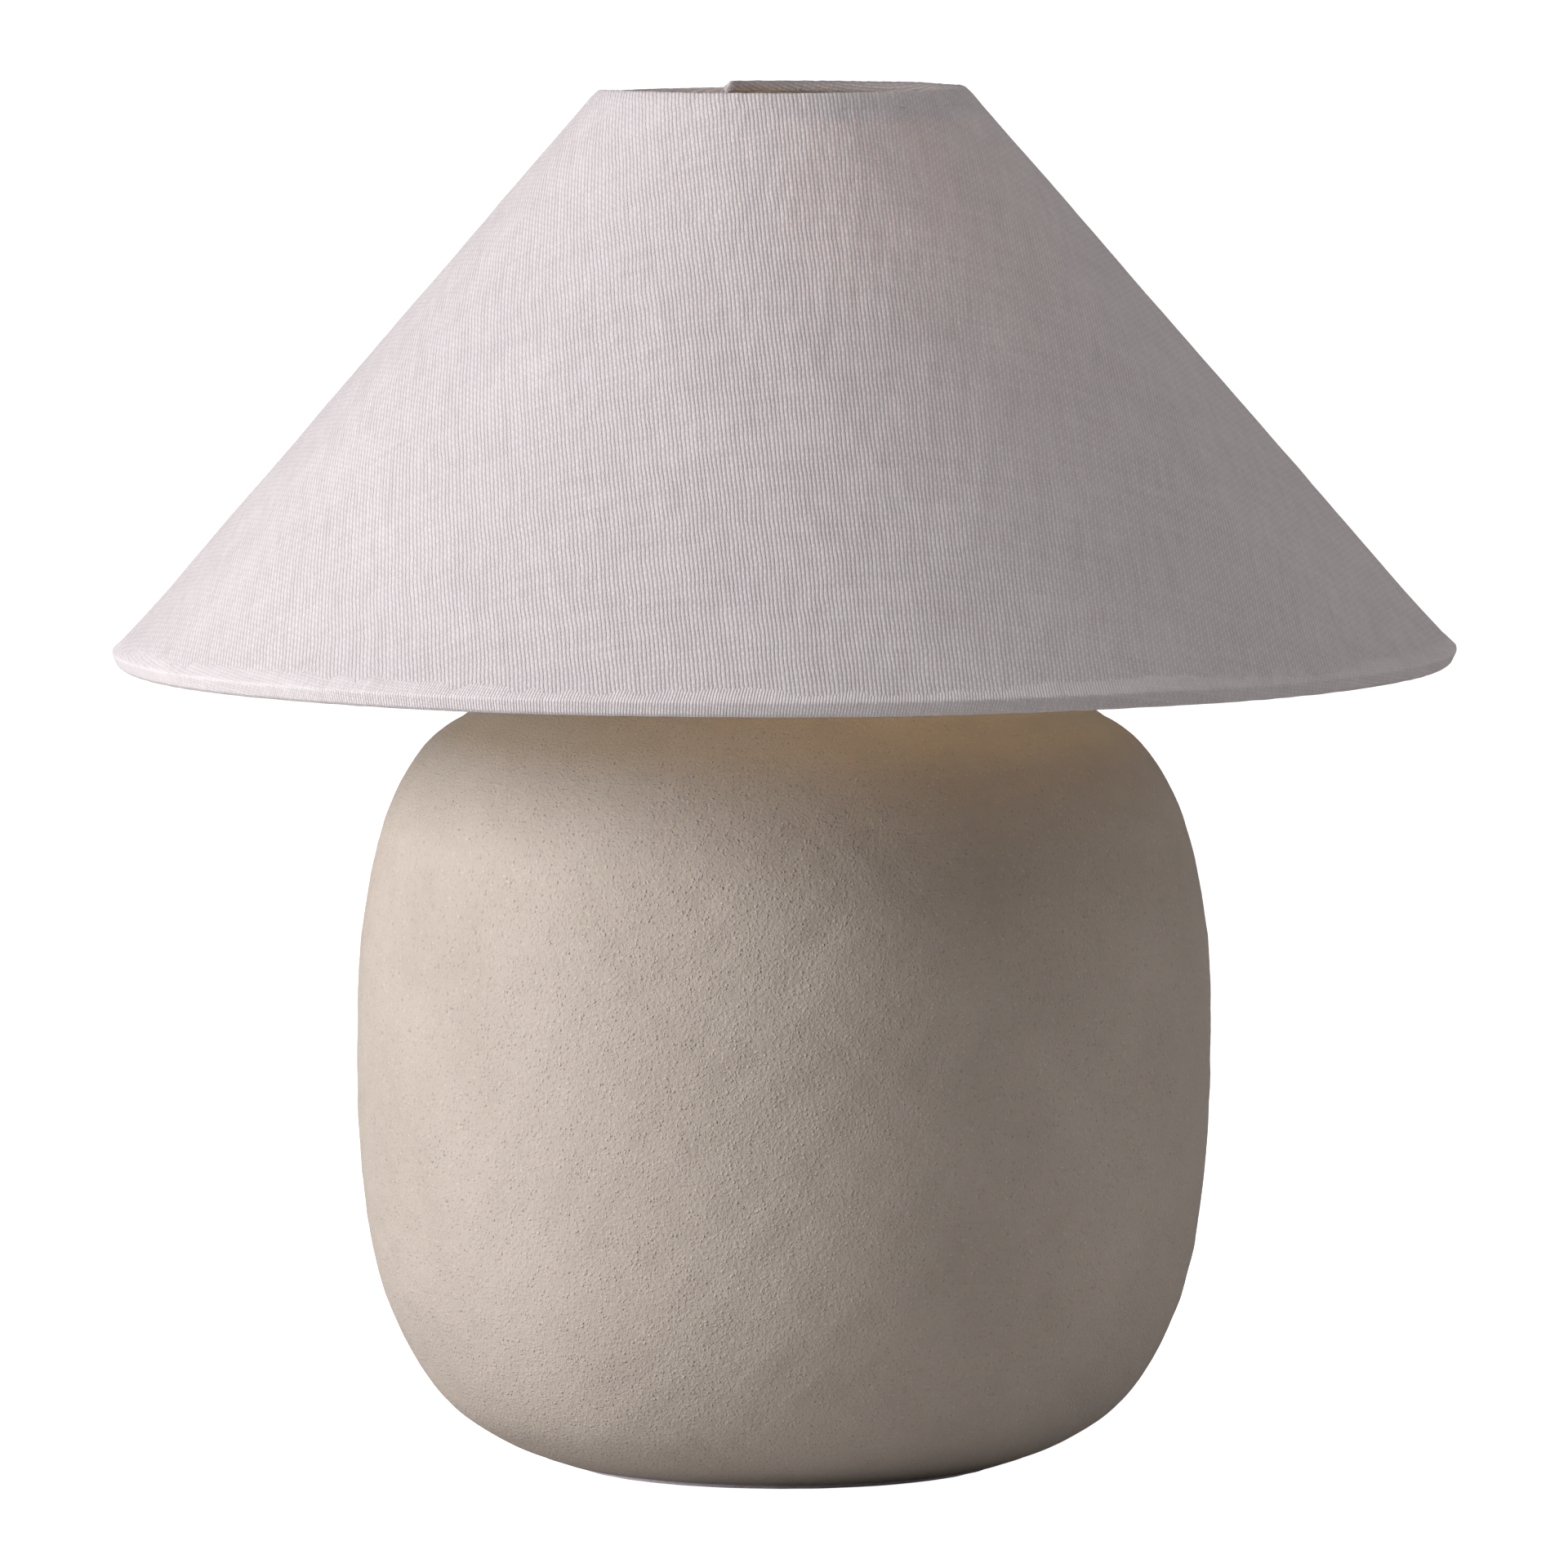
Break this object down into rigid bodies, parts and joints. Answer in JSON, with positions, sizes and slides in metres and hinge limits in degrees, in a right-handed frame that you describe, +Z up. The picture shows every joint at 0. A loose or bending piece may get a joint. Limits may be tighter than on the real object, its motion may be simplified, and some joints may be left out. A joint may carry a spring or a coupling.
{
  "type": "table lamp",
  "caption": "Table lamp with a rounded hollow ceramic body, a wide conical fabric shade on a spider fitter, and a screw-in candle bulb.",
  "frame": {"origin": "bottom centre of the foot pad, on the table", "axes": "+Z up along the lamp's axis, front towards -Y, cable entry in the rear wall towards +Y"},
  "size_m": [0.337, 0.337, 0.346],
  "materials": {
    "stoneware": "matte, sandy",
    "felt": "felt",
    "board": "pressed board",
    "bushing": "soft matte",
    "zinc": "zinc plated",
    "rubber": "matte",
    "neck_metal": "satin",
    "holder_plastic": "semi-gloss",
    "block_ceramic": "bisque",
    "brass": "plain",
    "spider_enamel": "white epoxy",
    "shade_fabric": "plain weave, white",
    "styrene": "translucent white sheet",
    "solder": "solder",
    "black_glass": "vitrite, black",
    "bulb_cap_metal": "satin",
    "bulb_clear": "clear",
    "filament": "emissive phosphor",
    "nickel_wire": "plain",
    "nylon": "natural",
    "lead_brown": "silicone",
    "lead_blue": "silicone"
  },
  "bodies": {
    "base": {"ceramic_body": "stoneware", "foot_pad": "felt", "bottom_plate": "board", "cable_bushing": "bushing", "threaded_nipple": "zinc", "seal_washer": "rubber", "neck_cap": "neck_metal", "clamp_washer": "zinc", "lock_washer": "zinc", "hex_nut": "zinc", "holder_cap": "holder_plastic", "holder_grub_screw": "zinc", "holder_shell": "holder_plastic", "contact_block": "block_ceramic", "holder_terminals": "brass", "terminal_screws": "brass", "centre_contact": "brass", "screw_shell_contact": "brass", "terminal_block": "nylon", "terminal_block_screws": "zinc", "lead_live": "lead_brown", "lead_neutral": "lead_blue"},
    "shade_seat": {"shade_seat_washer": "holder_plastic"},
    "shade": {"fitter_ring": "spider_enamel", "spider_arms": "spider_enamel", "shade_cover": "shade_fabric", "shade_lining": "styrene", "bottom_hem": "shade_fabric", "bottom_wire_ring": "spider_enamel", "top_rim": "shade_fabric", "top_wire_ring": "spider_enamel"},
    "clamp": {"clamp_ring": "holder_plastic"},
    "bulb_contact": {"bulb_centre_contact": "solder", "bulb_insulator": "black_glass"},
    "bulb": {"bulb_screw_cap": "bulb_cap_metal", "bulb_glass": "bulb_clear", "bulb_stem": "bulb_clear", "led_filaments": "filament", "filament_supports": "nickel_wire"}
  },
  "joints": [
    {"name": "shade_lift", "type": "slide", "parent": "base", "child": "shade_seat", "axis": [0, 0, 1], "range_m": [0, 0.12]},
    {"name": "shade_swivel", "type": "hinge", "parent": "shade_seat", "child": "shade", "pos_m": [0, 0, 0.245], "axis": [0, 0, 1], "continuous": true},
    {"name": "ring_turn", "type": "hinge", "parent": "shade_seat", "child": "clamp", "pos_m": [0, 0, 0.25], "axis": [0, 0, 1], "range_deg": [0, 1440]},
    {"name": "bulb_rise", "type": "slide", "parent": "base", "child": "bulb_contact", "axis": [0, 0, 1], "range_m": [0, 0.0182]},
    {"name": "bulb_turn", "type": "hinge", "parent": "bulb_contact", "child": "bulb", "pos_m": [0, 0, 0.26], "axis": [0, 0, 1], "range_deg": [0, 1800]}
  ],
  "couplings": [
    {"joint": "bulb_rise", "follows": "bulb_turn", "m_per_rad": 0.000577}
  ]
}
